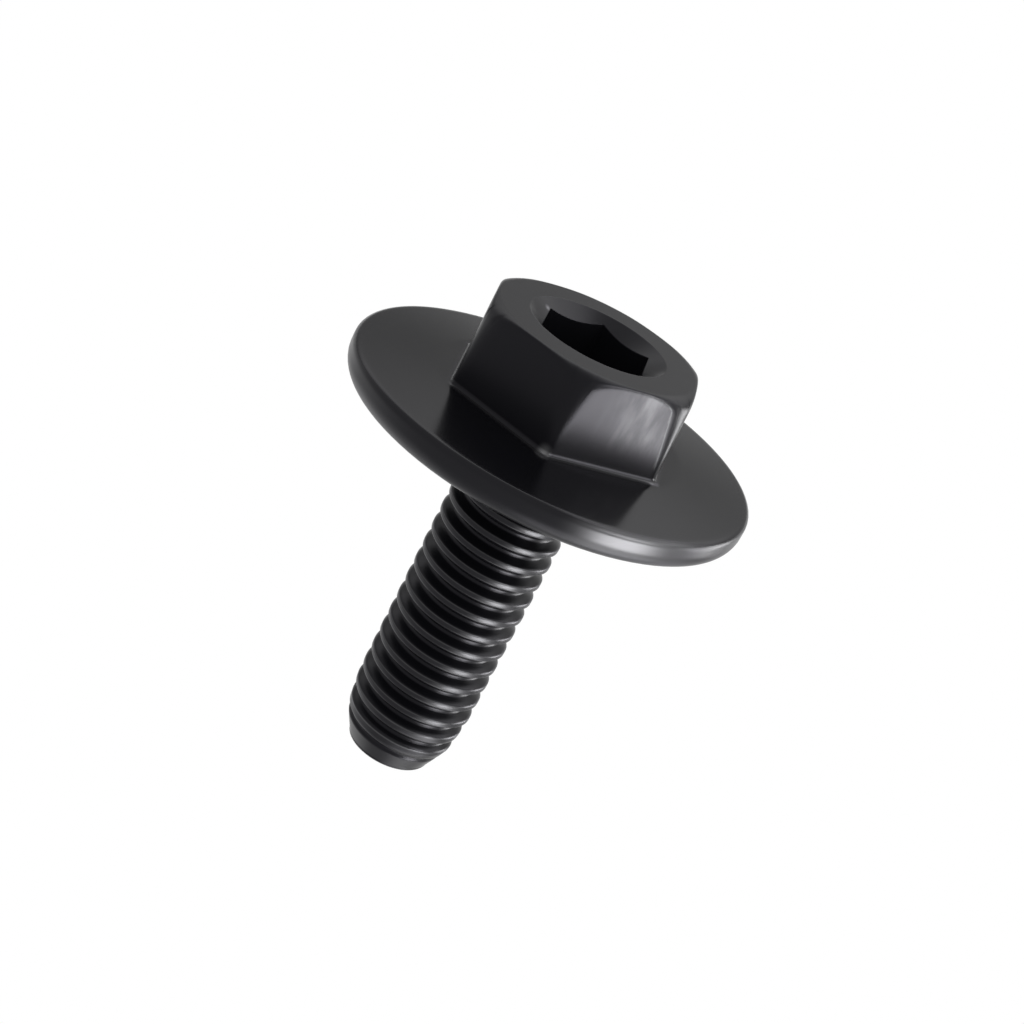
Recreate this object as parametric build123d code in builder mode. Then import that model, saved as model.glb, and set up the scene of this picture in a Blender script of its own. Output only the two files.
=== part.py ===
"""Hex flange bolt, M6 by 17.55, forged and rolled in one piece.

A wide round flange carries a hexagon head, and the head's top holds a hexagon socket, so that
the bolt takes a spanner or a key. Millimetres. The origin is the centre of the bearing face
under the flange. +Z runs along the shank to its point, so the bolt stands on the top of its
head. Two corners of the hexagon lie on the Y axis.

The shank is drawn plain at the thread's outside diameter.
"""
import os
from math import cos, radians, tan

from build123d import *

# Shank and point
thread_d = 6.0
shank_length = 17.55
underhead_round = 0.4
lead_length = 1.85
lead_end_d = 5.44
point_length = 1.5
point_end_d = 4.1
point_round = 0.2

# Flange
flange_d = 19.9
rim_thickness = 1.55
root_thickness = 1.92
rim_upper_round = 0.3
rim_lower_round = 0.9
rim_upper_share = 0.35
rim_lower_share = 0.6
hex_seat_margin = 0.12

# Hexagon head
hex_af = 10.0
head_height = 5.98
crown_d = 10.92
crown_draft = 5.0
crown_round = 0.7
hex_corner_round = 0.3
hex_foot_round = 0.2

# Hexagon socket
socket_af = 5.0
socket_depth = 3.0
socket_floor_depth = 0.6
socket_floor_flat_d = 1.0
socket_mouth_d = 6.8
socket_mouth_angle = 120.0
socket_corner_round = 0.15
socket_turn = 2.0

# Heights along the axis, up from the bearing face
head_top_z = -head_height
flange_root_z = -root_thickness
flange_rim_z = -rim_thickness
flange_mid_z = flange_root_z / 2
point_start_z = shank_length - point_length
lead_start_z = point_start_z - lead_length
socket_floor_z = head_top_z + socket_depth
socket_floor_end_z = socket_floor_z + socket_floor_depth
socket_mouth_tip_z = head_top_z + socket_mouth_d / 2 / tan(radians(socket_mouth_angle / 2))

hex_turn = 90.0
hex_corner_r = hex_af / 2 / cos(radians(30.0))
hex_seat_r = hex_corner_r + hex_foot_round + hex_seat_margin
crown_foot_r = crown_d / 2 + (flange_mid_z - head_top_z) * tan(radians(crown_draft))

# A rounding is never wider than the wall that it rounds
upper_round = min(rim_upper_round, rim_upper_share * rim_thickness)
lower_round = min(rim_lower_round, rim_lower_share * rim_thickness)

with BuildPart() as flange_bolt:
    # The hexagon, from the head's top into the flange
    with BuildSketch(Plane.XY.offset(head_top_z)) as hexagon:
        RegularPolygon(hex_af / 2, 6, major_radius=False, rotation=hex_turn)
        fillet(hexagon.vertices(), hex_corner_round)
    extrude(amount=flange_mid_z - head_top_z)

    # The drafted crown rounds off the hexagon's corners and leaves an arch on each flat
    with BuildSketch(Plane.XZ) as crown:
        with BuildLine():
            Polyline(
                (0, head_top_z),
                (crown_d / 2, head_top_z),
                (crown_foot_r, flange_mid_z),
                (0, flange_mid_z),
                close=True,
            )
        make_face()
        fillet(crown.vertices().group_by(Axis.Y)[0].sort_by(Axis.X)[-1], crown_round)
    revolve(axis=Axis.Z, mode=Mode.INTERSECT)

    # The flange: a level seat round the hexagon, then a shallow cone, and a rounded rim
    with BuildSketch(Plane.XZ) as flange:
        with BuildLine():
            Polyline(
                (0, flange_root_z),
                (hex_seat_r, flange_root_z),
                (flange_d / 2, flange_rim_z),
                (flange_d / 2, 0),
                (0, 0),
                close=True,
            )
        make_face()
        fillet(flange.vertices().group_by(Axis.X)[-1].sort_by(Axis.Y)[0], upper_round)
        fillet(flange.vertices().group_by(Axis.X)[-1].sort_by(Axis.Y)[-1], lower_round)
    revolve(axis=Axis.Z)

    # The shank, its tapered lead and its point
    with BuildSketch(Plane.XZ) as shank:
        with BuildLine():
            Polyline(
                (0, flange_mid_z),
                (thread_d / 2, flange_mid_z),
                (thread_d / 2, lead_start_z),
                (lead_end_d / 2, point_start_z),
                (point_end_d / 2, shank_length),
                (0, shank_length),
                close=True,
            )
        make_face()
        fillet(shank.vertices().group_by(Axis.Y)[-1].sort_by(Axis.X)[-1], point_round)
    revolve(axis=Axis.Z)

    # The rounding where the shank meets the bearing face
    bearing_face = flange_bolt.faces().filter_by(Axis.Z).sort_by(Axis.Z)[-2]
    fillet(bearing_face.inner_wires()[0].edges(), underhead_round)

    # The rounding where the hexagon stands on the flange, which runs on round the corners
    flats = flange_bolt.faces().filter_by(GeomType.PLANE).filter_by(Axis.Z, reverse=True)
    hex_foot = ShapeList(edge for flat in flats for edge in flat.edges().group_by(Axis.Z)[-1])
    fillet(hex_foot, hex_foot_round)

    # The socket, its cone-shaped floor and the countersink at its mouth
    with BuildSketch(Plane.XY.offset(head_top_z)) as socket:
        RegularPolygon(socket_af / 2, 6, major_radius=False, rotation=hex_turn + socket_turn)
        fillet(socket.vertices(), socket_corner_round)
    extrude(amount=socket_depth, mode=Mode.SUBTRACT)
    with BuildSketch(Plane.XZ) as socket_floor:
        with BuildLine():
            Polyline(
                (0, socket_floor_z),
                (socket_af / 2, socket_floor_z),
                (socket_floor_flat_d / 2, socket_floor_end_z),
                (0, socket_floor_end_z),
                close=True,
            )
        make_face()
    revolve(axis=Axis.Z, mode=Mode.SUBTRACT)
    with BuildSketch(Plane.XZ) as socket_mouth:
        with BuildLine():
            Polyline(
                (0, head_top_z),
                (socket_mouth_d / 2, head_top_z),
                (0, socket_mouth_tip_z),
                close=True,
            )
        make_face()
    revolve(axis=Axis.Z, mode=Mode.SUBTRACT)

flange_bolt.part.label = "flange_bolt"
os.makedirs("parts", exist_ok=True)
export_step(flange_bolt.part, "parts/flange_bolt.step")
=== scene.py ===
"""Hex flange bolt, M6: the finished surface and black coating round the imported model.

The bolt is one forging, so its whole skin is one closed surface: a stack of rings that starts at the
middle of the key socket's floor, climbs the socket, crosses the head, comes down the hexagon, goes out
over the flange and back under it, and runs along the thread to the point. Sizes are millimetres and
become metres when the mesh is made. +Z runs along the shank to its point.
"""

import logging
from dataclasses import dataclass
from enum import Enum
from math import cos, degrees, pi, radians, sin, tan
from typing import Any, Union

import bpy
import numpy as np
from mathutils import Matrix, Vector


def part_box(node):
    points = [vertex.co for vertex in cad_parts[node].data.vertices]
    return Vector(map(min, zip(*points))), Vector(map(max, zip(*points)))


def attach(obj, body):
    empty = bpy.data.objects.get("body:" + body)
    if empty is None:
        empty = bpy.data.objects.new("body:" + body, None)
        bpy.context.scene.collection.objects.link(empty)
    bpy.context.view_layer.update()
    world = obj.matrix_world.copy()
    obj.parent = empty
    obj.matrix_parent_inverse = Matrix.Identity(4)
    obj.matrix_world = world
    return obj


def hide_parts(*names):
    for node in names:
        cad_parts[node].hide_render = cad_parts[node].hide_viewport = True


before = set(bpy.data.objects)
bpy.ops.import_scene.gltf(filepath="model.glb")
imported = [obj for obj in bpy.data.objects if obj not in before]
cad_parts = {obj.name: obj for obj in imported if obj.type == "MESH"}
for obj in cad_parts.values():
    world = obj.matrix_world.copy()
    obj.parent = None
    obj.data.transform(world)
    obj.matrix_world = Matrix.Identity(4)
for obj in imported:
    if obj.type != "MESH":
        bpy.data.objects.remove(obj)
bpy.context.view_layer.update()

LOG = logging.getLogger("flange_bolt")
NODE = "flange_bolt"
MM = 0.001
TURN = 2 * pi

Array = np.ndarray
Span = tuple[float, float]
Colour = tuple[float, float, float, float]


class Hand(Enum):
    """The way that a thread winds: the sign of its rise for a turn from +X to +Y."""

    RIGHT = 1
    LEFT = -1


class Slot(Enum):
    """The record's material slots."""

    COATED_STEEL = "black_coated_steel"


# ----- Curves and surfaces -----


def shares(count: int, crowding: float = 0.0) -> Array:
    """Shares from 0 to 1 that crowd at both ends: t less crowding times sin(turn * t) over a turn.

    Args:
        count: How many steps to take.
        crowding: 0 for even steps, towards 1 for short steps at both ends.

    Returns:
        count + 1 rising values.
    """
    t = np.linspace(0.0, 1.0, count + 1)
    return t - crowding * np.sin(TURN * t) / TURN


def smooth_min(a: Array, b: Array, width: float) -> Array:
    """The lower of two values, with a parabola where they differ by less than the width.

    Args:
        a: First values.
        b: Second values.
        width: How near the two are where the rounding starts.

    Returns:
        The rounded lower value.
    """
    near = np.clip(1 - np.abs(a - b) / width, 0, 1)
    return np.minimum(a, b) - near**2 * width / 4


def smooth_max(a: Array, b: Array, width: float) -> Array:
    """The higher of two values, rounded in the same way as smooth_min.

    Args:
        a: First values.
        b: Second values.
        width: How near the two are where the rounding starts.

    Returns:
        The rounded higher value.
    """
    return -smooth_min(-a, -b, width)


def soft_ramp(x: Array, width: float) -> Array:
    """A ramp that is 0 below -width, x above width, and a parabola between.

    Args:
        x: Where to read the ramp.
        width: Half the length of the parabola.

    Returns:
        The ramp's height.
    """
    bend = np.clip(x + width, 0, 2 * width) ** 2 / (4 * width)
    return np.where(x > width, x, bend)


@dataclass(frozen=True)
class Outline:
    """A hexagon with rounded corners, walked once round in fixed steps.

    Attributes:
        across_flats: Distance between two opposite flats.
        corner_round: Radius of each corner.
        turn: Angle of the first flat's middle, in degrees.
        flat_steps: Steps along each flat.
        corner_steps: Steps round each corner.
        crowding: How the flats' steps shorten towards the corners, as in shares.
    """

    across_flats: float
    corner_round: float
    turn: float
    flat_steps: int = 26
    corner_steps: int = 8
    crowding: float = 0.75

    def walk(self) -> tuple[Array, Array]:
        """Points and outward normals, in the plane of the head.

        A flat's point is its middle plus a share of its length along it. A corner's point is the
        corner's centre plus its radius along the normal. The first point comes again at the end.

        Returns:
            Two arrays of shape (steps + 1, 2).
        """
        inner = self.across_flats / 2 - self.corner_round
        half = inner * tan(pi / 6)
        along = (2 * shares(self.flat_steps, self.crowding)[:-1] - 1) * half
        swing = shares(self.corner_steps)[:-1] * pi / 3
        middle = radians(self.turn) + np.arange(6) * pi / 3
        flat_angle = np.repeat(middle[:, None], self.flat_steps, axis=1)
        corner_angle = middle[:, None] + swing[None]
        angle = np.concatenate([flat_angle, corner_angle], axis=1)
        shift = np.concatenate([along, np.full(self.corner_steps, half)])
        normal = np.stack([np.cos(angle), np.sin(angle)], axis=-1)
        out = np.stack([np.cos(middle), np.sin(middle)], axis=-1)[:, None]
        tangent = out[..., ::-1] * (-1, 1)
        point = inner * out + shift[None, :, None] * tangent + self.corner_round * normal
        point, normal = point.reshape(-1, 2), normal.reshape(-1, 2)
        return np.vstack([point, point[:1]]), np.vstack([normal, normal[:1]])


def level(plan: Array, height: Union[float, Array]) -> Array:
    """Plan points with their heights.

    Args:
        plan: Points of shape (..., 2).
        height: One height, or one for each point.

    Returns:
        Points of shape (..., 3).
    """
    z = np.broadcast_to(np.asarray(height, float), plan.shape[:-1])
    return np.concatenate([plan, z[..., None]], axis=-1)


def circle(radius: Union[float, Array], angle: Array) -> Array:
    """Plan points round the axis: the radius times the cosine and the sine of the angle.

    Args:
        radius: One radius, or radii that broadcast against the points.
        angle: Angles from +X towards +Y, in radians.

    Returns:
        Points of shape (..., 2).
    """
    return radius * np.stack([np.cos(angle), np.sin(angle)], axis=-1)


def lathe(radius: Array, height: Array, angle: Array) -> Array:
    """Rings of a turned shape: each profile point carried round the axis.

    Args:
        radius: The profile's radii, of shape (rows,) or (rows, steps).
        height: The profile's heights, of the same shape.
        angle: The steps' angles.

    Returns:
        Points of shape (rows, steps, 3).
    """
    radius = radius[:, None] if radius.ndim == 1 else radius
    height = height[:, None] if height.ndim == 1 else height
    plan = circle(radius[..., None], angle)
    return level(plan, np.broadcast_to(height, plan.shape[:-1]))


def arc(centre: Span, radius: float, start: float, end: float, steps: int) -> tuple[Array, Array]:
    """A profile's arc: the centre plus the radius along an angle that goes from start to end.

    Args:
        centre: Radius and height of the arc's centre.
        radius: The arc's own radius.
        start: First angle in degrees, from straight outwards, positive towards +Z.
        end: Last angle.
        steps: How many steps to take.

    Returns:
        The arc's radii and heights.
    """
    angle = np.radians(np.linspace(start, end, steps + 1))
    return centre[0] + radius * np.cos(angle), centre[1] + radius * np.sin(angle)


def weld(points: Array, faces: Array, grain: float = 5.0e-6) -> tuple[Array, Array, Array]:
    """Joins points that share a place and drops what has no area.

    Each point is rounded to a grain, equal points become one, and a corner that repeats its
    neighbour is left out, so that a four-sided face may become a triangle or vanish.

    Args:
        points: All points, of shape (n, 3).
        faces: Four point numbers for each face.
        grain: The size of the rounding, in millimetres.

    Returns:
        The kept points, the corners of all faces in a row, and each face's number of corners.
    """
    cell = np.round(points / grain).astype(np.int64)
    _, first, number = np.unique(cell, axis=0, return_index=True, return_inverse=True)
    faces = number.reshape(-1)[faces]
    kept = faces != np.roll(faces, -1, axis=1)
    crossed = (faces[:, 0] == faces[:, 2]) | (faces[:, 1] == faces[:, 3])
    total = np.where(crossed, 0, kept.sum(axis=1))
    solid = total >= 3
    return points[first], faces[solid][kept[solid]], total[solid]


def add_object(name: str, data: bpy.types.ID) -> bpy.types.Object:
    """Puts a mesh, lamp or camera into the scene, at the origin.

    Args:
        name: The object's name.
        data: The mesh, lamp or camera.

    Returns:
        Its object.
    """
    made = bpy.data.objects.new(name, data)
    bpy.context.scene.collection.objects.link(made)
    return made


def skin(name: str, rings: Array) -> bpy.types.Object:
    """A smooth closed mesh object from a stack of rings, the first and last of which are points.

    Args:
        name: The object's name.
        rings: Points in millimetres, of shape (rows, steps + 1, 3), the last step over the first.

    Returns:
        The object, at the origin and in the scene.
    """
    rows, steps = rings.shape[:2]
    number = np.arange(rows * steps).reshape(rows, steps)
    quads = np.stack([number[:-1, :-1], number[:-1, 1:], number[1:, 1:], number[1:, :-1]], axis=-1)
    points, corners, total = weld(rings.reshape(-1, 3), quads.reshape(-1, 4))
    mesh = bpy.data.meshes.new(name)
    mesh.vertices.add(len(points))
    mesh.vertices.foreach_set("co", (points * MM).astype(np.float32).ravel())
    mesh.loops.add(len(corners))
    mesh.loops.foreach_set("vertex_index", corners.astype(np.int32))
    mesh.polygons.add(len(total))
    mesh.polygons.foreach_set("loop_start", (np.cumsum(total) - total).astype(np.int32))
    mesh.polygons.foreach_set("use_smooth", np.ones(len(total), bool))
    mesh.update(calc_edges=True)
    mesh.validate()
    return add_object(name, mesh)


# ----- Shader maths -----

Value = Union["Link", float, tuple]


@dataclass(frozen=True)
class Link:
    """A value in a node tree, with Python's operators as Math nodes.

    Attributes:
        tree: The tree that the value lives in.
        socket: The output that carries it.
    """

    tree: "Tree"
    socket: bpy.types.NodeSocket

    def __add__(self, other: Value) -> "Link":
        """The sum."""
        return self.tree.math("ADD", self, other)

    __radd__ = __add__

    def __sub__(self, other: Value) -> "Link":
        """The difference."""
        return self.tree.math("SUBTRACT", self, other)

    def __rsub__(self, other: Value) -> "Link":
        """The difference, the other way round."""
        return self.tree.math("SUBTRACT", other, self)

    def __mul__(self, other: Value) -> "Link":
        """The product."""
        return self.tree.math("MULTIPLY", self, other)

    __rmul__ = __mul__

    def size(self) -> "Link":
        """The number without its sign."""
        return self.tree.math("ABSOLUTE", self)

    def nearest(self) -> "Link":
        """The nearest whole number."""
        return self.tree.math("ROUND", self)

    def highest(self, other: Value) -> "Link":
        """The greater of the two."""
        return self.tree.math("MAXIMUM", self, other)

    def band(self, middle: float, reach: float) -> "Link":
        """1 at the middle, falling evenly to 0 at the reach on both sides."""
        return (1 - (self - middle).size() * (1 / reach)).highest(0.0)

    def between(self, low: float, high: float) -> "Link":
        """0 at low, 1 at high and smooth between; low may be the greater of the two."""
        inputs = {"Value": self, "From Min": low, "From Max": high}
        return self.tree.node("ShaderNodeMapRange", {"interpolation_type": "SMOOTHSTEP"}, inputs)


@dataclass(frozen=True)
class Tree:
    """The node tree of one material or of the world.

    Attributes:
        nodes: Where nodes are made.
        links: Where links are made.
    """

    nodes: bpy.types.Nodes
    links: bpy.types.NodeLinks

    def node(
        self, kind: str, settings: dict[str, Any], inputs: dict[Any, Value], output: Any = 0
    ) -> Link:
        """Makes any node.

        Args:
            kind: The node's type.
            settings: Its settings, which are set first.
            inputs: Values or links of its sockets, by name or number.
            output: The output that is read, by name or number.

        Returns:
            That output.
        """
        made = self.nodes.new(kind)
        for name, value in settings.items():
            setattr(made, name, value)
        for key, value in inputs.items():
            if isinstance(value, Link):
                self.links.new(value.socket, made.inputs[key])
            else:
                made.inputs[key].default_value = value
        return Link(self, made.outputs[output])

    def output(self, kind: str, shader: Link) -> None:
        """Makes the output node of a material or a world and gives it the surface."""
        made = self.nodes.new(kind)
        self.links.new(shader.socket, made.inputs["Surface"])

    def place(self) -> Link:
        """The surface's own place, in millimetres."""
        spot = self.node("ShaderNodeTexCoord", {}, {}, "Object")
        return self.node("ShaderNodeVectorMath", {"operation": "SCALE"}, {0: spot, "Scale": 1 / MM})

    def math(self, operation: str, *values: Value) -> Link:
        """One Math node over the given values."""
        return self.node("ShaderNodeMath", {"operation": operation}, dict(enumerate(values)))

    def vector(self, operation: str, *values: Value, output: str = "Vector") -> Link:
        """One Vector Math node over the given values."""
        inputs = dict(enumerate(values))
        return self.node("ShaderNodeVectorMath", {"operation": operation}, inputs, output)

    def along(self, place: Link, way: tuple[float, float, float]) -> Link:
        """How far a place lies along a direction."""
        return self.vector("DOT_PRODUCT", place, way, output="Value")

    def noise(self, vector: Link, scale: float, detail: float) -> Link:
        """Smooth noise about a half, with scale waves to a millimetre."""
        inputs = {"Vector": vector, "Scale": scale, "Detail": detail}
        return self.node("ShaderNodeTexNoise", {}, inputs)

    def mix(self, share: Link, a: Value, b: Value) -> Link:
        """A colour between two others."""
        return self.node("ShaderNodeMix", {"data_type": "RGBA"}, {0: share, 6: a, 7: b}, 2)


def new_material(name: str) -> tuple[bpy.types.Material, Tree]:
    """An empty material and its node tree.

    Args:
        name: The material's name.

    Returns:
        The material and its tree.
    """
    material = bpy.data.materials.new(name)
    material.use_nodes = True
    material.node_tree.nodes.clear()
    return material, Tree(material.node_tree.nodes, material.node_tree.links)


def grey(value: float) -> Colour:
    """A neutral colour.

    Args:
        value: Its red, green and blue alike.

    Returns:
        The opaque colour.
    """
    return (value, value, value, 1.0)


@dataclass(frozen=True)
class Station:
    """A surface's place as wear sees it: measured from the rubbed flat, in millimetres.

    Attributes:
        tree: The material's nodes.
        place: The surface's own place.
        turn: Azimuth of the rubbed flat, in degrees.
    """

    tree: Tree
    place: Link
    turn: float

    def towards(self, azimuth: float) -> Link:
        """How far it lies from the axis towards an azimuth, in degrees."""
        angle = radians(azimuth)
        return self.tree.along(self.place, (cos(angle), sin(angle), 0.0))

    def out(self) -> Link:
        """How far it lies towards the rubbed flat."""
        return self.towards(self.turn)

    def side(self) -> Link:
        """How far it lies beside the rubbed flat's middle, towards +X, where its near edge is."""
        return self.towards(self.turn + 90.0)

    def height(self) -> Link:
        """How far it lies past the bearing face, towards the point."""
        return self.tree.along(self.place, (0.0, 0.0, 1.0))

    def radius(self) -> Link:
        """How far it lies from the axis."""
        flat = self.tree.vector("MULTIPLY", self.place, (1, 1, 0))
        return self.tree.vector("LENGTH", flat, output="Value")

    def angle(self) -> Link:
        """Its angle round the axis, in radians."""
        across = self.tree.along(self.place, (0.0, 1.0, 0.0))
        return self.tree.math("ARCTAN2", across, self.tree.along(self.place, (1.0, 0.0, 0.0)))


@dataclass(frozen=True)
class CrestWearAndSheen:
    """Wear of the thread's crests, and a painted highlight on them where the key lamp reflects.

    Attributes:
        all_round: Share of bare steel on every crest.
        facing: More of it on the side of the rubbed flat, where the key lamp's highlight falls: a
        painted highlight.
        facing_from: Where that starts and is full, as shares of the crests' radius.
        edge: Share on the crests' edges towards the head.
        edge_width: Width of that line, in millimetres.
        depth: How far down from the crest wear goes, in millimetres.
        start: Heights at which it starts and is full.
    """

    all_round: float = 0.05
    facing: float = 0.31
    facing_from: Span = (0.90, 0.99)
    edge: float = 0.44
    edge_width: float = 0.07
    depth: float = 0.05
    start: Span = (0.5, 0.8)

    def share(self, at: Station, shank: "ThreadedShank") -> Link:
        """The share of bare steel: wear all round and on the crests' edges, and a painted highlight
        on the side that faces the key lamp.

        The crests come inwards along the lead, so a place there is read as that much further out.
        Its phase, in pitches from a crest's middle, tells how near it is to the crest's edge.

        Args:
            at: The surface's place.
            shank: The shank.

        Returns:
            0 for whole coating to 1 for bare steel.
        """
        height = at.height()
        taper = (shank.crest_r - shank.lead_end_r) / (shank.lead_end_z - shank.lead_start_z)
        fallen = (height - shank.lead_start_z).highest(0.0) * taper
        crest = (at.radius() + fallen).between(shank.crest_r - self.depth, shank.crest_r)
        phase = height * (1 / shank.pitch) - at.angle() * (shank.hand.value / TURN) - shank.start
        beside = phase - phase.nearest()
        edge = beside.band(-shank.crest_land / 2, self.edge_width / shank.pitch)
        low, high = (share * shank.crest_r for share in self.facing_from)
        # Painted highlight: more bare steel on the crests towards the key lamp, added to the wear all
        # round.
        crest_wear_and_highlight = at.out().between(low, high) * self.facing + self.all_round
        return crest * height.between(*self.start) * (edge * self.edge).highest(crest_wear_and_highlight)


@dataclass(frozen=True)
class FootWear:
    """Wear of the line where the hexagon stands on the flange.

    Attributes:
        all_round: Share of bare steel below the other flats.
        near: Share below the rubbed flat, at its near edge.
        far: Share at its far edge.
        ends: Where beside its middle those two are reached, as shares of the wall's distance.
        facing_depth: How far inside the rubbed flat it takes on that share, in millimetres.
        middle: How far the line's middle lies outside the flat, in millimetres.
        reach: How far the line goes on both sides of its middle.
        upper: Heights at which it starts and is full, on the head's side.
        lower: Heights at which it ends and is full, on the bearing side.
    """

    all_round: float = 0.10
    near: float = 0.22
    far: float = 0.74
    ends: Span = (0.5, -0.5)
    facing_depth: float = 0.1
    middle: float = 0.18
    reach: float = 0.16
    upper: Span = (-2.07, -1.99)
    lower: Span = (-1.80, -1.86)

    def share(self, at: Station, wall: float) -> Link:
        """The share of bare steel: a band along the hexagon that is moved outwards by the middle.

        The distance from the axis to the hexagon through a place is the greatest of the distances
        along the three ways across the flats.

        Args:
            at: The surface's place.
            wall: Distance from the axis to a flat.

        Returns:
            0 for whole coating to 1 for bare steel.
        """
        first, second, third = (at.towards(azimuth).size() for azimuth in (0.0, 60.0, -60.0))
        hexagon = first.highest(second).highest(third)
        height = at.height()
        line = hexagon.band(wall + self.middle, self.reach)
        line = line * height.between(*self.upper) * height.between(*self.lower)
        onward = at.side().between(self.ends[0] * wall, self.ends[1] * wall)
        below = onward * (self.far - self.near) + self.near
        facing = at.out().between(wall - self.facing_depth, wall)
        return line * (facing * (below - self.all_round) + self.all_round)


@dataclass(frozen=True)
class FlatWearAndSheen:
    """Wear of the rubbed flat, in streaks along the axis, and of the edge of its arch, graded across
    the flat and down to the foot as a painted highlight of the key lamp.

    Attributes:
        far: Share of bare steel at the far edge, fading to nothing at the near edge: a painted
        highlight laid over the rubbed streaks.
        fade: Where beside the middle it starts and is full, as shares of the wall's distance.
        fade_height: Heights at which it starts and is full, from the foot to the crown: painted
        shade towards the foot, where the flange hides the lamp's reflection.
        skin: How far inside the flat it starts and is full, in millimetres.
        stretch: How the streaks' noise is scaled along X, Y and Z.
        waves: Waves of that noise to a millimetre.
        detail: How many finer waves it has.
        contrast: The noise's values that become 0 and 1.
        streaks: How much of the wear the streaks make.
        arch: Share on the edge of the arch.
        arch_width: Half the width of that line, as a depth below the flat in millimetres.
        arch_fade: As fade, for the arch.
        arch_height: As fade_height, for the arch.
    """

    far: float = 0.375
    fade: Span = (0.4, -0.2)
    fade_height: Span = (-2.6, -3.9)
    skin: Span = (0.03, 0.005)
    stretch: tuple[float, float, float] = (1.0, 1.0, 0.3)
    waves: float = 1.6
    detail: float = 4.0
    contrast: Span = (0.3, 0.7)
    streaks: float = 0.6
    arch: float = 0.44
    arch_width: float = 0.006
    arch_fade: Span = (-0.05, -0.3)
    arch_height: Span = (-2.4, -2.8)

    def share(self, at: Station, wall: float) -> Link:
        """The share of bare steel: the greater of the flat's and the arch's.

        Args:
            at: The surface's place.
            wall: Distance from the axis to a flat.

        Returns:
            0 for whole coating to 1 for bare steel.
        """
        out, side, height = at.out(), at.side(), at.height()
        stretched = at.tree.vector("MULTIPLY", at.place, self.stretch)
        streak = at.tree.noise(stretched, self.waves, self.detail).between(*self.contrast)
        on_flat = out.between(wall - self.skin[0], wall - self.skin[1])
        # Painted highlight: the fades across the flat and towards the foot follow the key lamp's
        # reflection; the streaks are rubbing.
        far = side.between(self.fade[0] * wall, self.fade[1] * wall)
        rubbed = on_flat * height.between(*self.fade_height) * far
        rubbed = rubbed * (streak * self.streaks + (1 - self.streaks)) * self.far
        edge = out.band(wall - self.arch_width, self.arch_width)
        edge = edge * side.between(self.arch_fade[0] * wall, self.arch_fade[1] * wall)
        return rubbed.highest(edge * height.between(*self.arch_height) * self.arch)


@dataclass(frozen=True)
class RimWearAndSheen:
    """Wear of the flange's rim, with a painted highlight where the key lamp reflects.

    Attributes:
        all_round: Share of bare steel all round.
        rubbed: More of it on the side where the key lamp's highlight falls: a painted highlight.
        turn: Azimuth of the middle of that side, in degrees.
        reach: Where that side starts and is full, as shares of the flange's radius.
        depth: How far in from the rim wear starts and is full, in millimetres.
    """

    all_round: float = 0.04
    rubbed: float = 0.41
    turn: float = -122.0
    reach: Span = (0.915, 0.985)
    depth: Span = (0.4, 0.05)

    def share(self, at: Station, flange_r: float) -> Link:
        """The rim's wear: a little all round, and a painted highlight where the rim reaches far
        enough towards the key lamp's highlight.

        Args:
            at: The surface's place.
            flange_r: The flange's radius.

        Returns:
            0 for whole coating to 1 for bare steel.
        """
        rim = at.radius().between(flange_r - self.depth[0], flange_r - self.depth[1])
        # Painted highlight: more bare steel on the rim where the key lamp reflects.
        highlight_side = at.towards(self.turn).between(self.reach[0] * flange_r, self.reach[1] * flange_r)
        return rim * (highlight_side * self.rubbed + self.all_round)


@dataclass(frozen=True)
class Spot:
    """A small rubbed spot.

    Attributes:
        place: Its middle, in millimetres.
        reach: How far it goes, in millimetres.
        wear: Its share of bare steel.
    """

    place: tuple[float, float, float]
    reach: float
    wear: float

    def share(self, at: Station) -> Link:
        """The share of bare steel, falling from the middle to nothing at the reach."""
        away = at.tree.vector("DISTANCE", at.place, self.place, output="Value")
        return away.between(self.reach, 0.0) * self.wear


@dataclass(frozen=True)
class Wear:
    """Where the coating is rubbed off, and where bare steel is painted in as a highlight on the
    crests, the rubbed flat and the rim.

    Attributes:
        turn: Azimuth of the rubbed flat, in degrees.
        crests: The thread's crests.
        foot: The hexagon's foot.
        flat: The rubbed flat.
        rim: The flange's rim.
        spots: Single rubbed spots.
    """

    turn: float = -120.0
    crests: CrestWearAndSheen = CrestWearAndSheen()
    foot: FootWear = FootWear()
    flat: FlatWearAndSheen = FlatWearAndSheen()
    rim: RimWearAndSheen = RimWearAndSheen()
    spots: tuple[Spot, ...] = (
        Spot((0.12, -5.82, -2.04), 0.5, 0.9),
        Spot((2.58, 1.32, -5.69), 0.25, 0.8),
    )

    def share(
        self, tree: Tree, place: Link, head: "HexHead", flange: "Flange", shank: "ThreadedShank"
    ) -> Link:
        """The share of bare steel at each place, the greatest of the wear and the painted highlights.

        Args:
            tree: The material's nodes.
            place: The surface's own place.
            head: The head.
            flange: The flange.
            shank: The shank.

        Returns:
            0 for whole coating to 1 for bare steel.
        """
        at = Station(tree, place, self.turn)
        wall = head.across_flats / 2
        wear_and_sheen = self.crests.share(at, shank).highest(self.foot.share(at, wall))
        wear_and_sheen = wear_and_sheen.highest(self.flat.share(at, wall)).highest(self.rim.share(at, flange.radius))
        for spot in self.spots:
            wear_and_sheen = wear_and_sheen.highest(spot.share(at))
        return wear_and_sheen


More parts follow.
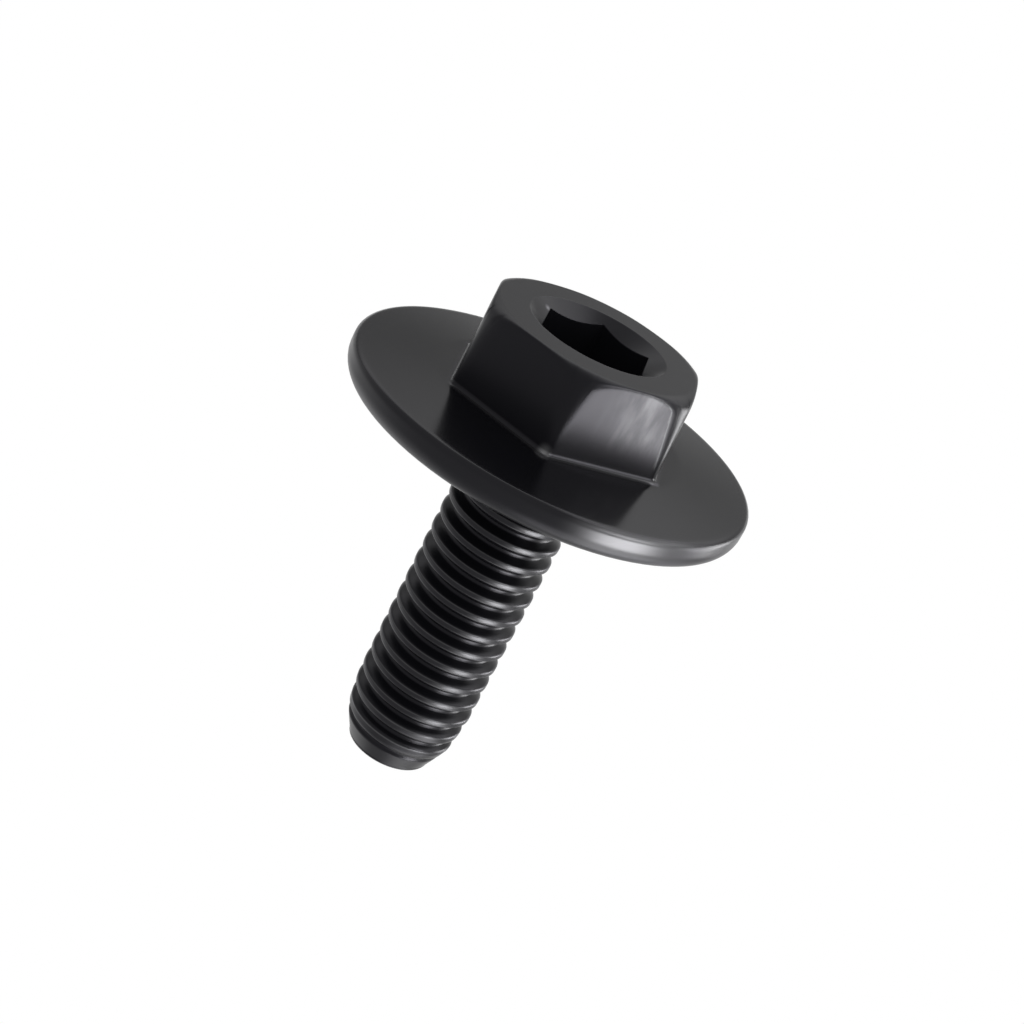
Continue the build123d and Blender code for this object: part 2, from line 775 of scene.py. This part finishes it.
@dataclass(frozen=True)
class BlackCoat:
    """Satin black coating on forged steel, rubbed down to darkened steel in places, with bare steel
    also painted in as highlights where the key lamp reflects.

    Attributes:
        colour: The coating's own colour, linear.
        steel: The colour of the rubbed steel, also used for the painted highlights.
        roughness: The coating's mean roughness.
        roughness_swing: How far it wanders.
        flange_roughness: The flange's upper side, which the forging die has pressed smooth.
        press_fade: How far above and below that side it fades out, in millimetres.
        steel_roughness: The rubbed steel's roughness.
        reflectance: The specular level, where a half is plain varnish.
        tint: Colour of the coating's reflections.
        cloud: Waves to a millimetre, and detail, of the noise that the roughness follows.
        speck: The same of the fine grain.
        grain: Height of the fine grain, in millimetres.
        wear: Where it is rubbed, and where painted highlights are.
    """

    colour: Colour = (0.0045, 0.0045, 0.0058, 1.0)
    steel: Colour = (0.140, 0.140, 0.143, 1.0)
    roughness: float = 0.30
    roughness_swing: float = 0.05
    flange_roughness: float = 0.17
    press_fade: float = 0.1
    steel_roughness: float = 0.33
    reflectance: float = 0.13
    tint: Colour = (0.93, 0.91, 1.0, 1.0)
    cloud: Span = (0.6, 3.0)
    speck: Span = (6.0, 2.0)
    grain: float = 0.0004
    wear: Wear = Wear()

    def material(self, head: "HexHead", flange: "Flange", shank: "ThreadedShank") -> bpy.types.Material:
        """Builds the material.

        Args:
            head: The head.
            flange: The flange.
            shank: The shank.

        Returns:
            The material.
        """
        material, tree = new_material(Slot.COATED_STEEL.value)
        place = tree.place()
        cloud, speck = tree.noise(place, *self.cloud), tree.noise(place, *self.speck)
        # The mask of wear and painted highlights: bare steel's colour, metalness and roughness follow
        # it.
        wear_and_sheen = self.wear.share(tree, place, head, flange, shank)
        height = tree.along(place, (0.0, 0.0, 1.0))
        top_z, rim_z = -flange.root_thickness, -flange.rim_thickness
        pressed = height.between(top_z - self.press_fade, top_z)
        pressed = pressed * height.between(rim_z + self.press_fade, rim_z)
        roughness = pressed * (self.flange_roughness - self.roughness) + self.roughness
        roughness = (cloud - 0.5) * self.roughness_swing + roughness
        roughness = roughness + wear_and_sheen * (self.steel_roughness - self.roughness)
        relief = speck * self.grain * MM
        bump = tree.node("ShaderNodeBump", {}, {"Height": relief, "Distance": 1.0, "Strength": 1.0})
        inputs = {
            "Base Color": tree.mix(wear_and_sheen, self.colour, self.steel),
            "Metallic": wear_and_sheen,
            "Roughness": roughness,
            "Specular IOR Level": self.reflectance,
            "Specular Tint": self.tint,
            "Normal": bump,
        }
        tree.output("ShaderNodeOutputMaterial", tree.node("ShaderNodeBsdfPrincipled", {}, inputs))
        return material


# ----- The bolt -----


@dataclass(frozen=True)
class KeySocket:
    """The hexagon socket in the head's top, with a countersink at its mouth.

    Attributes:
        across_flats: Key size.
        corner_round: Radius of the socket's upright corners.
        turn: Angle of a flat's middle, in degrees.
        depth: Depth of the walls.
        floor_depth: Further depth of the cone-shaped floor.
        floor_flat_r: Radius of the small flat at the cone's end.
        foot_round: Radius between the walls and the floor.
        mouth_r: Radius of the countersink at the head's top.
        mouth_angle: The whole angle of the countersink, in degrees.
        floor_rows: Rows down the cone of the floor.
        foot_rows: Rows round the foot of the walls.
        wall_rows: Rows up the walls.
        mouth_rows: Rows across the countersink.
        crowding: How rows crowd towards the edges, as in shares.
    """

    across_flats: float = 5.0
    corner_round: float = 0.12
    turn: float = 2.0
    depth: float = 3.0
    floor_depth: float = 0.6
    floor_flat_r: float = 0.5
    foot_round: float = 0.15
    mouth_r: float = 3.4
    mouth_angle: float = 120.0
    floor_rows: int = 5
    foot_rows: int = 3
    wall_rows: int = 14
    mouth_rows: int = 8
    crowding: float = 0.85

    def slope(self) -> float:
        """How far the countersink goes down for each millimetre inwards."""
        return 1 / tan(radians(self.mouth_angle / 2))

    def rings(self, top_z: float) -> Array:
        """From the floor's middle, up the walls and out over the countersink, to the head's top.

        The floor is a small flat and a cone, and the walls are the hexagon straight up. The
        countersink is a cone, which meets each wall where its radius is the hexagon's.

        Args:
            top_z: Height of the head's top.

        Returns:
            Points of shape (rows, steps + 1, 3).
        """
        wall, normal = Outline(self.across_flats, self.corner_round, self.turn).walk()
        angle = np.arctan2(wall[:, 1], wall[:, 0])
        reach = np.hypot(wall[:, 0], wall[:, 1])
        floor_z = top_z + self.depth
        end_z = floor_z + self.floor_depth
        out = shares(self.floor_rows)[1:]
        inner_r = self.across_flats / 2 - self.foot_round
        flat_r = self.floor_flat_r * np.array([0.0, 0.6, 1.0])
        cone_r = np.concatenate([flat_r, self.floor_flat_r + out * (inner_r - self.floor_flat_r)])
        cone_z = np.concatenate([end_z + 0 * flat_r, end_z + out * (floor_z - end_z)])
        floor = lathe(cone_r, cone_z, angle)
        bend = np.radians(np.linspace(0, 90, self.foot_rows + 1))
        inset, lift = self.foot_round * (1 - np.sin(bend)), self.foot_round * (1 - np.cos(bend))
        foot = level(wall - inset[:, None, None] * normal, (floor_z - lift)[:, None])
        meet_z = top_z + (self.mouth_r - reach) * self.slope()
        start_z = floor_z - self.foot_round
        rise = shares(self.wall_rows, self.crowding)[1:, None]
        plan = np.broadcast_to(wall, (self.wall_rows, *wall.shape))
        walls = level(plan, start_z + rise * (meet_z - start_z))
        across = shares(self.mouth_rows, self.crowding)[1:, None]
        mouth_r, mouth_z = reach + across * (self.mouth_r - reach), meet_z + across * (top_z - meet_z)
        mouth = lathe(mouth_r, mouth_z, angle)
        return np.concatenate([floor, foot, walls, mouth])


@dataclass(frozen=True)
class HexHead:
    """The hexagon with its rounded crown.

    Attributes:
        across_flats: Spanner size.
        corner_round: Radius of the upright corners.
        turn: Angle of a flat's middle, in degrees.
        crown_r: Radius at which the crown's side would meet the top.
        crown_draft: The lean of the crown's side, in degrees.
        crown_round: Radius between the top and the crown's side.
        arch_blend: How near the crown and the hexagon are where they start to melt together.
        foot_round: Radius where the hexagon stands on the flange.
        top_rows: Rows across the top.
        crown_rows: Rows down the crown.
        wall_rows: Rows down the flats.
        foot_rows: Rows round the foot.
        crowding: How rows crowd towards the edges of the top and the flats, as in shares.
        crown_crowding: The same for the crown.
    """

    across_flats: float = 10.0
    corner_round: float = 0.3
    turn: float = 0.0
    crown_r: float = 5.46
    crown_draft: float = 5.0
    crown_round: float = 0.7
    arch_blend: float = 0.20
    foot_round: float = 0.2
    top_rows: int = 8
    crown_rows: int = 34
    wall_rows: int = 20
    foot_rows: int = 6
    crowding: float = 0.8
    crown_crowding: float = 0.3

    def outline(self) -> Outline:
        """The hexagon's outline."""
        return Outline(self.across_flats, self.corner_round, self.turn)

    def rings(self, top_z: float, root_z: float, mouth: Array) -> Array:
        """From the socket's mouth over the top, down the crown and the flats, to the flange.

        At each step round the hexagon the profile is: the flat top; the crown, an arc and then a
        line leaning outwards, as far as the hexagon's upright wall; the wall; and the foot, a
        quarter circle that goes out along the hexagon's normal. Then each point's radius becomes
        the smooth lower value of the hexagon's and the crown's at that height.

        Args:
            top_z: Height of the head's top.
            root_z: Height of the flange's surface at the hexagon's foot.
            mouth: The ring at the socket's mouth.

        Returns:
            Points of shape (rows, steps + 1, 3).
        """
        plan, normal = self.outline().walk()
        angle = np.arctan2(plan[:, 1], plan[:, 0])
        reach = np.hypot(plan[:, 0], plan[:, 1])
        lean = radians(self.crown_draft)
        hub_r = self.crown_r - self.crown_round * tan((pi / 2 - lean) / 2)
        hub_z = top_z + self.crown_round
        side_r, side_z = hub_r + self.crown_round * cos(lean), hub_z - self.crown_round * sin(lean)
        # The top, from the socket's mouth to the start of the crown
        start = level(circle(hub_r, angle), top_z)
        across = shares(self.top_rows, self.crowding)[1:, None, None]
        top = (1 - across) * mouth + across * start
        # The crown: equal shares of the arc's length and the leaning side's
        tip = np.arccos(np.clip((reach - hub_r) / self.crown_round, -1, cos(lean)))
        arc_length = self.crown_round * (pi / 2 - tip)
        side_length = np.clip(reach - side_r, 0, None) / sin(lean)
        gone = shares(self.crown_rows, self.crown_crowding)[1:, None] * (arc_length + side_length)
        bend = pi / 2 - np.minimum(gone, arc_length) / self.crown_round
        slid = np.clip(gone - arc_length, 0, None)
        crown_r = hub_r + self.crown_round * np.cos(bend) + slid * sin(lean)
        crown_z = hub_z - self.crown_round * np.sin(bend) + slid * cos(lean)
        crown = lathe(crown_r, crown_z, angle)
        # The wall and the foot
        foot_z = root_z - self.foot_round
        drop = shares(self.wall_rows, self.crowding)[1:, None]
        upright = np.broadcast_to(plan, (self.wall_rows, *plan.shape))
        wall = level(upright, crown_z[-1] + drop * (foot_z - crown_z[-1]))
        swing = np.radians(np.linspace(0, 90, self.foot_rows + 1))[1:, None, None]
        out = self.foot_round * (1 - np.cos(swing))
        foot = level(plan + out * normal, (foot_z + self.foot_round * np.sin(swing))[..., 0])
        # The crown melts into the hexagon
        body = np.concatenate([crown, wall, foot])
        height = body[..., 2]
        arc_r = hub_r + np.sqrt(np.clip(self.crown_round**2 - (hub_z - height) ** 2, 0, None))
        turned_r = np.where(height < side_z, arc_r, side_r + (height - side_z) * tan(lean))
        melted = smooth_min(turned_r, np.broadcast_to(reach, turned_r.shape), self.arch_blend)
        body[..., :2] *= (melted / np.minimum(turned_r, reach))[..., None]
        return np.concatenate([top, body])


@dataclass(frozen=True)
class Flange:
    """The wide round flange.

    Attributes:
        radius: Outer radius.
        rim_thickness: Height of the rim before its edges are rounded.
        root_thickness: Height where the hexagon stands on it.
        level_r: Radius out to which the upper side is level.
        upper_round: Radius of the rim's edge on the head's side.
        lower_round: Radius of the rim's edge on the bearing side.
        seat_rows: Rows from the hexagon to the level circle.
        cone_rows: Rows down the cone.
        upper_rows: Rows round the upper edge.
        rim_rows: Rows down the rim.
        lower_rows: Rows round the lower edge.
        face_rows: Rows across the bearing face.
        root_rows: Rows round a whole rounding at the shank.
        root_kept: Share of that rounding's height that is kept, before the thread's run-out.
        crowding: How rows crowd on the cone and on the bearing face, as in shares.
    """

    radius: float
    rim_thickness: float = 1.55
    root_thickness: float = 1.92
    level_r: float = 6.1
    upper_round: float = 0.3
    lower_round: float = 0.9
    seat_rows: int = 4
    cone_rows: int = 10
    upper_rows: int = 7
    rim_rows: int = 3
    lower_rows: int = 14
    face_rows: int = 8
    root_rows: int = 8
    root_kept: float = 0.6
    crowding: Span = (0.5, 0.7)

    def rings(self, foot: Array, shank_r: float, shank_round: float) -> Array:
        """From the hexagon's foot out over the cone, round the rim and in under the bearing face.

        The first rows slide from the hexagon's outline to a circle; the rest are a turned profile
        of a line, two arcs and the level bearing face, ending in the rounding at the shank.

        Args:
            foot: The ring at the hexagon's foot.
            shank_r: Radius of the shank.
            shank_round: Radius of the rounding between the bearing face and the shank.

        Returns:
            Points of shape (rows, steps + 1, 3).
        """
        angle = np.arctan2(foot[:, 1], foot[:, 0])
        fall = (self.root_thickness - self.rim_thickness) / (self.radius - self.level_r)
        slope = np.arctan(fall)
        out = shares(self.seat_rows)[1:, None, None]
        seat_plan = (1 - out) * foot[None, :, :2] + out * circle(self.level_r, angle)
        seat = level(seat_plan, -self.root_thickness)
        # The arc at the upper edge touches the cone and the rim
        turn_r = self.radius - self.upper_round
        turn_z = -self.rim_thickness + self.upper_round * tan((pi / 2 - slope) / 2)
        steep = degrees(slope) - 90
        upper_r, upper_z = arc((turn_r, turn_z), self.upper_round, steep, 0, self.upper_rows)
        down = shares(self.cone_rows, self.crowding[0])[1:-1]
        cone_r = self.level_r + down * (upper_r[0] - self.level_r)
        cone_z = -self.root_thickness + (cone_r - self.level_r) * fall
        hub = (self.radius - self.lower_round, -self.lower_round)
        lower_r, lower_z = arc(hub, self.lower_round, 0, 90, self.lower_rows)
        rim_z = np.linspace(upper_z[-1], lower_z[0], self.rim_rows + 1)[1:-1]
        hole_r = shank_r + shank_round
        inward = shares(self.face_rows, self.crowding[1])[1:-1]
        face_r = lower_r[-1] + inward * (hole_r - lower_r[-1])
        root_r, root_z = arc((hole_r, shank_round), shank_round, 270, 180, self.root_rows)
        kept = root_z < shank_round * self.root_kept
        rim_r, face_z = self.radius + 0 * rim_z, 0 * face_r
        profile_r = np.concatenate([cone_r, upper_r, rim_r, lower_r, face_r, root_r[kept]])
        profile_z = np.concatenate([cone_z, upper_z, rim_z, lower_z, face_z, root_z[kept]])
        return np.concatenate([seat, lathe(profile_r, profile_z, angle)])


@dataclass(frozen=True)
class ThreadedShank:
    """The threaded shank with its tapered lead and plain point.

    Attributes:
        length: From the bearing face to the end.
        crest_r: Radius over the crests.
        pitch: Distance between turns.
        hand: The way that the thread winds.
        start: Height of a crest at angle 0, in pitches.
        crest_land: Share of the pitch taken by the crest.
        root_land: Share of the pitch taken by the root.
        flank: Angle of each flank from square to the axis, in degrees.
        softness: Rounding of crest and root, as a share of a flank.
        steps: Rows to each pitch.
        crowding: How rows crowd towards crests and roots.
        lead_start_z: Height where the tapered lead starts.
        lead_end_z: Height where it ends.
        lead_end_r: Radius there.
        point_z: Height where the plain point starts.
        point_r: Radius there.
        end_r: Radius at the end.
        end_round: Radius of the end's edge.
        end_start: Angle at which that edge's arc starts, in degrees.
        slack: How far the blank stands clear of the crests at the flange and at the lead.
        run_out: Bend of the parabola from the flange's rounding into the thread.
        run_in: Length over which the thread fades in at the rounding.
        groove_blend: Width of the rounding where the thread meets the run-out.
        blank_blend: Width of the rounding where it meets the blank.
        tip_rows: Rows round the end's edge.
        face_rows: Rows across the end.
    """

    length: float
    crest_r: float = 2.93
    pitch: float = 1.0
    hand: Hand = Hand.LEFT
    start: float = 0.655
    crest_land: float = 0.27
    root_land: float = 0.18
    flank: float = 30.0
    softness: float = 0.10
    steps: int = 18
    crowding: float = 0.6
    lead_start_z: float = 14.2
    lead_end_z: float = 16.05
    lead_end_r: float = 2.72
    point_z: float = 16.5
    point_r: float = 2.53
    end_r: float = 2.12
    end_round: float = 0.2
    end_start: float = 12.0
    slack: Span = (0.1, 0.02)
    run_out: float = 0.9
    run_in: float = 0.1
    groove_blend: float = 0.08
    blank_blend: float = 0.04
    tip_rows: int = 6
    face_rows: int = 4

    def depth(self) -> float:
        """Depth of the thread: a flank's length along the axis over the tangent of its angle."""
        return self.flank_width() * self.pitch / tan(radians(self.flank))

    def flank_width(self) -> float:
        """A flank's length along the axis, in pitches."""
        return (1 - self.crest_land - self.root_land) / 2

    def groove(self, angle: Array, z: Array) -> Array:
        """Radius of the endless thread.

        The distance from the nearest crest, in pitches, climbs a soft ramp from 0 at the crest's
        land to 1 at the root's land, and the radius is the crest's less that share of the depth.

        Args:
            angle: Angles round the axis.
            z: Heights.

        Returns:
            The radius at each point.
        """
        phase = z / self.pitch - self.hand.value * angle / TURN - self.start
        away = np.abs(phase - np.round(phase))
        x = (away - self.crest_land / 2) / self.flank_width()
        share = soft_ramp(x, self.softness) - soft_ramp(x - 1, self.softness)
        return self.crest_r - self.depth() * share

    def envelope(self, z: Array) -> Array:
        """Radius of the blank: nearly straight, then the lead, a steeper step, and the point.

        Args:
            z: Heights.

        Returns:
            The radius at each height.
        """
        end_z = self.length - self.end_round
        heights = [0.0, self.lead_start_z, self.lead_end_z, self.point_z, end_z]
        clear = [self.crest_r + slack for slack in self.slack]
        return np.interp(z, heights, [*clear, self.lead_end_r, self.point_r, self.end_r])

    def rows(self, angle: Array, low: float, high: float) -> Array:
        """Heights of the rows, which follow the thread and are cut off at both ends.

        Row number over steps, plus the turn's share, is the row's place in pitches; rows crowd
        towards crests and roots by a sine. Rows start two pitches early and end two late.

        Args:
            angle: Angles round the axis.
            low: Where the rows start.
            high: Where they end.

        Returns:
            Heights of shape (rows, steps).
        """
        first = int((low / self.pitch - 2) * self.steps)
        last = int((high / self.pitch + 2) * self.steps)
        t = np.arange(first, last + 1) / self.steps
        t = t - self.crowding * np.sin(2 * TURN * t) / (2 * TURN)
        z = self.pitch * (t[:, None] + self.start + self.hand.value * angle[None] / TURN)
        return np.clip(z, low, high)

    def rings(self, angle: Array, start_r: float, start_z: float, start_slope: float) -> Array:
        """From the rounding under the flange along the thread to the middle of the end.

        The radius is the higher of the thread and the rounding's run-out, a parabola that goes on
        from the rounding, and then the lower of that and the blank's envelope.

        Args:
            angle: The steps' angles, the last a whole turn past the first.
            start_r: Radius where the rounding ends.
            start_z: Height where the rounding ends.
            start_slope: Slope of the radius there.

        Returns:
            Points of shape (rows, steps + 1, 3).
        """
        end_z = self.length - self.end_round
        z = self.rows(angle, start_z, end_z)
        past = z - start_z
        run_out = start_r + start_slope * past - self.run_out * past**2
        joined = smooth_max(self.groove(angle[None], z), run_out, self.groove_blend)
        share = np.clip(past / self.run_in, 0, 1)
        joined = (1 - share) * run_out + share * joined
        body = lathe(smooth_min(joined, self.envelope(z), self.blank_blend), z, angle)
        hub = (self.end_r - self.end_round, end_z)
        tip_r, tip_z = arc(hub, self.end_round, self.end_start, 90, self.tip_rows)
        face_r = tip_r[-1] * (1 - shares(self.face_rows)[1:])
        profile_r = np.concatenate([tip_r, face_r])
        profile_z = np.concatenate([tip_z, self.length + 0 * face_r])
        return np.concatenate([body, lathe(profile_r, profile_z, angle)])


@dataclass
class FlangeBolt:
    """The whole bolt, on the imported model's sizes.

    Attributes:
        low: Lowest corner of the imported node, in metres.
        high: Highest corner.
        shank_round: Radius of the rounding under the flange, in millimetres.
        head: The hexagon and its crown.
        socket: The key socket.
        coat: The coating.
    """

    low: Vector
    high: Vector
    shank_round: float = 0.4
    head: HexHead = HexHead()
    socket: KeySocket = KeySocket()
    coat: BlackCoat = BlackCoat()

    def flange(self) -> Flange:
        """The flange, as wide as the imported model's."""
        return Flange(radius=self.high.x / MM)

    def shank(self) -> ThreadedShank:
        """The shank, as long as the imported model's."""
        return ThreadedShank(length=self.high.z / MM)

    def rings(self) -> Array:
        """All rings, from the socket's floor to the end of the shank.

        Returns:
            Points of shape (rows, steps + 1, 3), in millimetres.
        """
        top_z = self.low.z / MM
        head, flange, shank = self.head, self.flange(), self.shank()
        socket_rings = self.socket.rings(top_z)
        head_rings = head.rings(top_z, -flange.root_thickness, socket_rings[-1])
        flange_rings = flange.rings(head_rings[-1], shank.crest_r, self.shank_round)
        angle = np.unwrap(np.arctan2(flange_rings[-1, :, 1], flange_rings[-1, :, 0]))
        start = flange_rings[-1, 0]
        start_r, start_z = float(np.hypot(start[0], start[1])), float(start[2])
        fallen = self.shank_round - start_z
        across = self.shank_round + shank.crest_r - start_r
        shank_rings = shank.rings(angle, start_r, start_z, -fallen / across)
        return np.concatenate([socket_rings, head_rings, flange_rings, shank_rings])

    def build(self) -> bpy.types.Object:
        """Makes the piece, dresses it and ties it to the frame.

        Returns:
            The piece.
        """
        piece = skin("bolt_body", self.rings())
        piece.data.materials.append(self.coat.material(self.head, self.flange(), self.shank()))
        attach(piece, "root")
        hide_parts(NODE)
        mesh = piece.data
        LOG.info("%s: %d points, %d faces", piece.name, len(mesh.vertices), len(mesh.polygons))
        return piece


# ----- The studio -----


def direction(azimuth: float, elevation: float) -> Vector:
    """A unit vector: the cosine of the elevation times the azimuth's cosine and sine, and its sine.

    Args:
        azimuth: Degrees from +X towards +Y.
        elevation: Degrees above the floor's level.

    Returns:
        The direction.
    """
    a, e = radians(azimuth), radians(elevation)
    return Vector((cos(a) * cos(e), sin(a) * cos(e), sin(e)))


@dataclass(frozen=True)
class Softbox:
    """A soft lamp at the rim of the studio, facing the bolt.

    A matt lamp lights matt surfaces only, and any other is seen only in reflections, as a white
    card would be, so that the studio's level stays plain.

    Attributes:
        name: The lamp's name.
        azimuth: Its direction from the bolt, in degrees from +X towards +Y.
        elevation: Its angle above the floor's level, in degrees; it may stand below.
        width: Its width as an angle seen from the bolt, in degrees.
        height: Its height in the same way.
        radiance: How bright its face is, where the background is 1.
        matt: Whether it lights matt surfaces instead of showing in reflections.
        distance: How far off it stands, in metres.
    """

    name: str
    azimuth: float
    elevation: float
    width: float
    height: float
    radiance: float
    matt: bool = False
    distance: float = 0.5

    def build(self) -> bpy.types.Object:
        """Makes the lamp: its power is its radiance times pi times its area.

        Returns:
            The lamp.
        """
        lamp = bpy.data.lights.new(self.name, "AREA")
        lamp.shape = "ELLIPSE"
        lamp.size = 2 * self.distance * tan(radians(self.width / 2))
        lamp.size_y = 2 * self.distance * tan(radians(self.height / 2))
        lamp.energy = self.radiance * pi * lamp.size * lamp.size_y * pi / 4
        made = add_object(self.name, lamp)
        way = direction(self.azimuth, self.elevation)
        made.location = way * self.distance
        made.rotation_euler = way.to_track_quat("Z", "Y").to_euler()
        made.visible_diffuse = self.matt
        made.visible_glossy = not self.matt
        return made


@dataclass(frozen=True)
class GreyCard:
    """An upright glowing card that only reflections show, brightest at its lower edge.

    Attributes:
        azimuth: Its direction from the bolt, in degrees.
        low: Elevation of its lower edge.
        high: Elevation of its upper edge.
        width: Its width as an angle seen from the bolt.
        pale: How bright it is at its lower edge, where the background is 1.
        dark: How bright it is at its upper edge.
        fade: Heights between which it goes from pale to dark, in millimetres.
        near_side: How bright its end towards +X is, as a share of the rest.
        near_fade: Places along X between which it goes to that share, in millimetres.
        distance: How far off it stands, in metres.
    """

    azimuth: float = 93.0
    low: float = -42.0
    high: float = -4.0
    width: float = 110.0
    pale: float = 2.75
    dark: float = 0.50
    fade: Span = (-231.0, -63.0)
    near_side: float = 0.72
    near_fade: Span = (-80.0, 40.0)
    distance: float = 0.4

    def build(self) -> bpy.types.Object:
        """Makes the card.

        Returns:
            The card.
        """
        ends = [radians(self.azimuth + side * self.width / 2) for side in (-1, 1)]
        low, high = (self.distance * tan(radians(edge)) for edge in (self.low, self.high))
        corners = [(ends[0], low), (ends[1], low), (ends[1], high), (ends[0], high)]
        points = [(self.distance * cos(a), self.distance * sin(a), z) for a, z in corners]
        mesh = bpy.data.meshes.new("grey_card")
        mesh.from_pydata(points, [], [(0, 1, 2, 3)])
        card = add_object("grey_card", mesh)
        material, tree = new_material("grey_card")
        place = tree.place()
        up = tree.along(place, (0.0, 0.0, 1.0)).between(*self.fade)
        side = tree.along(place, (1.0, 0.0, 0.0)).between(*self.near_fade)
        glow = (up * (self.dark - self.pale) + self.pale) * (side * (self.near_side - 1) + 1)
        shade = tree.node("ShaderNodeEmission", {}, {"Color": glow, "Strength": 1.0})
        tree.output("ShaderNodeOutputMaterial", shade)
        mesh.materials.append(material)
        card.visible_camera = False
        card.visible_diffuse = False
        card.visible_transmission = False
        card.visible_shadow = False
        return card


@dataclass(frozen=True)
class Studio:
    """Floor, background, lamps and camera.

    Attributes:
        floor_radius: Radius of the floor, in metres.
        floor_gap: How far the floor lies under the bolt, in metres.
        floor_colour: The floor's own grey.
        floor_fade: Distances at which it starts to fade and is gone, in millimetres.
        floor_steps: Corners of the floor.
        ambient: Strength of the white surroundings on matt surfaces.
        lens: Focal length, in millimetres.
        sensor: Width of the camera's sensor, in millimetres.
        clip: Nearest and farthest distance that the camera sees, in metres.
        camera_at: The camera's place, in millimetres.
        camera_aim: A point on its line of sight, in millimetres.
        camera_roll: Its turn about that line, in degrees.
        card: The glowing card on the far side.
        lamps: The soft lamps.
    """

    floor_radius: float = 0.30
    floor_gap: float = 0.00005
    floor_colour: float = 0.80
    floor_fade: Span = (60.0, 280.0)
    floor_steps: int = 96
    ambient: float = 0.70
    lens: float = 75.147
    sensor: float = 36.0
    clip: Span = (0.005, 5.0)
    camera_at: tuple[float, float, float] = (4.614, -91.546, -34.979)
    camera_aim: tuple[float, float, float] = (-0.170, 0.0, 3.552)
    camera_roll: float = -152.627
    card: GreyCard = GreyCard()
    lamps: tuple[Softbox, ...] = (
        Softbox("key_lamp", -149.0, 20.5, width=32.0, height=24.0, radiance=23.0),
        Softbox("low_lamp", -153.0, -22.0, width=24.0, height=42.0, radiance=12.0),
        Softbox("side_lamp", 156.0, 4.0, width=30.0, height=36.0, radiance=11.0),
        Softbox("shoulder_glow", 154.0, -49.0, width=58.0, height=54.0, radiance=2.6),
        Softbox("point_glow", -146.0, 57.0, width=60.0, height=40.0, radiance=3.6),
        Softbox("far_glow", 10.0, 45.0, width=60.0, height=50.0, radiance=0.7),
        Softbox("matt_lamp", -120.0, 55.0, width=40.0, height=40.0, radiance=2.4, matt=True),
    )

    def floor(self, floor_z: float) -> bpy.types.Object:
        """A round floor that fades into the background at its rim and is seen from above only.

        Args:
            floor_z: Its height, in metres.

        Returns:
            The floor.
        """
        rim = circle(self.floor_radius, np.linspace(0, TURN, self.floor_steps + 1)[:-1])
        mesh = bpy.data.meshes.new("floor")
        mesh.from_pydata(level(rim, floor_z).tolist(), [], [list(range(len(rim)))])
        floor = add_object("floor", mesh)
        material, tree = new_material("pale_floor")
        matt = tree.node("ShaderNodeBsdfDiffuse", {}, {"Color": grey(self.floor_colour)})
        clear = tree.node("ShaderNodeBsdfTransparent", {}, {})
        back = tree.node("ShaderNodeNewGeometry", {}, {}, "Backfacing")
        away = tree.vector("LENGTH", tree.place(), output="Value")
        gone = back.highest(away.between(*self.floor_fade))
        both = tree.node("ShaderNodeMixShader", {}, {0: gone, 1: matt, 2: clear})
        tree.output("ShaderNodeOutputMaterial", both)
        mesh.materials.append(material)
        floor.visible_shadow = False
        floor.visible_glossy = False
        floor.visible_diffuse = False
        return floor

    def surroundings(self) -> None:
        """White surroundings: full strength in sight and in reflections, softer on matt surfaces."""
        world = bpy.data.worlds.new("studio")
        world.use_nodes = True
        world.node_tree.nodes.clear()
        tree = Tree(world.node_tree.nodes, world.node_tree.links)
        rays = ("Is Camera Ray", "Is Glossy Ray", "Is Transmission Ray")
        camera, glossy, through = (tree.node("ShaderNodeLightPath", {}, {}, ray) for ray in rays)
        seen = camera.highest(glossy).highest(through)
        strength = seen * (1 - self.ambient) + self.ambient
        shade = tree.node("ShaderNodeBackground", {}, {"Color": grey(1.0), "Strength": strength})
        tree.output("ShaderNodeOutputWorld", shade)
        bpy.context.scene.world = world

    def camera(self) -> bpy.types.Object:
        """A camera at its place, aimed and then rolled.

        Returns:
            The camera.
        """
        data = bpy.data.cameras.new("camera")
        data.sensor_width = self.sensor
        data.lens = self.lens
        data.clip_start, data.clip_end = self.clip
        made = add_object("camera", data)
        place, aim = Vector(self.camera_at) * MM, Vector(self.camera_aim) * MM
        turned = (aim - place).to_track_quat("-Z", "Y").to_matrix().to_4x4()
        roll = Matrix.Rotation(radians(self.camera_roll), 4, "Z")
        made.matrix_world = Matrix.Translation(place) @ turned @ roll
        bpy.context.scene.camera = made
        return made

    def build(self, floor_z: float) -> None:
        """Makes the whole studio.

        Args:
            floor_z: Height of what the bolt stands on, in metres.
        """
        self.floor(floor_z - self.floor_gap)
        self.surroundings()
        for lamp in self.lamps:
            lamp.build()
            LOG.info("lamp %s", lamp.name)
        self.card.build()
        self.camera()
        bpy.context.scene.view_settings.view_transform = "Standard"


def main() -> None:
    """Builds the bolt and the studio."""
    logging.basicConfig(level=logging.INFO, format="%(name)s: %(message)s")
    low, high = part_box(NODE)
    FlangeBolt(low, high).build()
    Studio().build(low.z)


if __name__ == "__main__":
    main()
